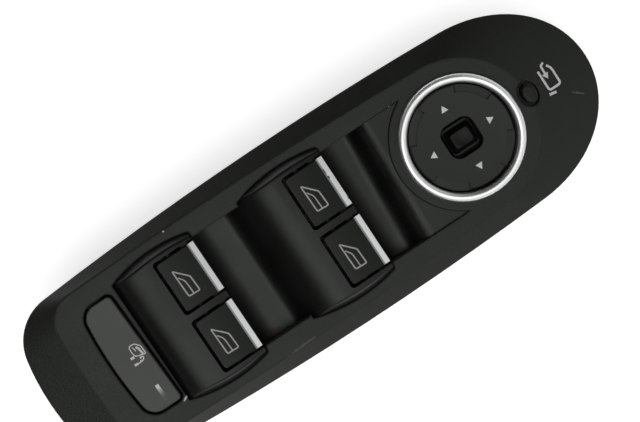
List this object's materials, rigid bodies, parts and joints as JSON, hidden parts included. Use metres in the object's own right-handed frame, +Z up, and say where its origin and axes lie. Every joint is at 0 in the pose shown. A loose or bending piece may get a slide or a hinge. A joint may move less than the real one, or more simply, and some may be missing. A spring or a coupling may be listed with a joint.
{
  "type": "power window switch",
  "caption": "Driver's door switch panel: window rockers with chrome lips, a rear lock button and a tilting mirror pad with selector in one sloping bezel.",
  "frame": {"origin": "middle of the bounding box in X and Y, at the underside of the lower casing", "axes": "+X along the panel to the mirror control end, +Y to the left side, +Z up out of the panel"},
  "size_m": [0.211, 0.0688, 0.0378],
  "materials": {
    "textured_black": "fine grained black",
    "wave_black": "smooth satin black",
    "button_black": "satin black",
    "pad_black": "satin black",
    "casing_black": "moulded",
    "cover_black": "moulded",
    "inner_black": "moulded",
    "plug_black": "moulded",
    "chip_black": "moulded",
    "board_green": "solder mask",
    "silicone_grey": "translucent silicone",
    "led_white": "clear",
    "light_bar": "translucent",
    "chrome_trim": "bright",
    "capacitor_can": "satin",
    "zinc_screws": "zinc plated",
    "spring_steel": "blued",
    "pin_tin": "tin plated"
  },
  "bodies": {
    "switch_frame": {"bezel": "textured_black", "wave_panel": "wave_black", "switch_housing": "casing_black", "base_cover": "cover_black", "housing_screws": "zinc_screws", "cover_screws": "zinc_screws", "circuit_board": "board_green", "control_chip": "chip_black", "board_capacitors": "capacitor_can", "board_leds": "led_white", "contact_mat": "silicone_grey", "main_connector": "plug_black", "main_connector_pins": "pin_tin", "mounting_clips": "spring_steel", "mirror_housing": "casing_black", "mirror_screws": "zinc_screws", "mirror_board": "board_green", "mirror_contact_mat": "silicone_grey", "selector_switch": "chip_black", "mirror_connector": "plug_black", "mirror_connector_pins": "pin_tin", "pad_carrier": "inner_black", "mirror_ring": "chrome_trim"},
    "rocker_rear_left": {"rocker_rear_left": "button_black", "trim_rear_left": "chrome_trim"},
    "rocker_rear_right": {"rocker_rear_right": "button_black", "trim_rear_right": "chrome_trim"},
    "rocker_front_left": {"rocker_front_left": "button_black", "trim_front_left": "chrome_trim"},
    "rocker_front_right": {"rocker_front_right": "button_black", "trim_front_right": "chrome_trim"},
    "lock_button": {"lock_button": "button_black", "lock_light_guide": "light_bar"},
    "pad_gimbal": {"pad_gimbal": "inner_black"},
    "mirror_pad": {"mirror_pad": "pad_black"},
    "selector_knob": {"selector_knob": "button_black"},
    "fold_button": {"fold_button": "button_black"}
  },
  "joints": [
    {"name": "rocker_rear_left_tilt", "type": "hinge", "parent": "switch_frame", "child": "rocker_rear_left", "pos_m": [-0.045, 0.0113, 0.0325], "axis": [0, 1, 0], "range_deg": [-6, 6], "stiffness_Nm_per_rad": 0.05},
    {"name": "rocker_rear_right_tilt", "type": "hinge", "parent": "switch_frame", "child": "rocker_rear_right", "pos_m": [-0.045, -0.0113, 0.0325], "axis": [0, 1, 0], "range_deg": [-6, 6], "stiffness_Nm_per_rad": 0.05},
    {"name": "rocker_front_left_tilt", "type": "hinge", "parent": "switch_frame", "child": "rocker_front_left", "pos_m": [0.005, 0.0113, 0.0325], "axis": [0, 1, 0], "range_deg": [-6, 6], "stiffness_Nm_per_rad": 0.05},
    {"name": "rocker_front_right_tilt", "type": "hinge", "parent": "switch_frame", "child": "rocker_front_right", "pos_m": [0.005, -0.0113, 0.0325], "axis": [0, 1, 0], "range_deg": [-6, 6], "stiffness_Nm_per_rad": 0.05},
    {"name": "lock_button_press", "type": "slide", "parent": "switch_frame", "child": "lock_button", "axis": [0, 0, 1], "range_m": [-0.0012, 0], "stiffness_N_per_m": 400},
    {"name": "pad_gimbal_tilt", "type": "hinge", "parent": "switch_frame", "child": "pad_gimbal", "pos_m": [0.0564, 0, 0.0255], "axis": [1, 0, 0], "range_deg": [-2.5, 2.5], "stiffness_Nm_per_rad": 0.05},
    {"name": "mirror_pad_tilt", "type": "hinge", "parent": "pad_gimbal", "child": "mirror_pad", "pos_m": [0.0564, 0, 0.0255], "axis": [0, 1, 0], "range_deg": [-2.5, 2.5], "stiffness_Nm_per_rad": 0.05},
    {"name": "selector_slide", "type": "slide", "parent": "switch_frame", "child": "selector_knob", "axis": [0, 1, 0], "range_m": [-0.0012, 0.0012]},
    {"name": "fold_button_press", "type": "slide", "parent": "switch_frame", "child": "fold_button", "axis": [0, 0, 1], "range_m": [-0.001, 0], "stiffness_N_per_m": 300}
  ]
}
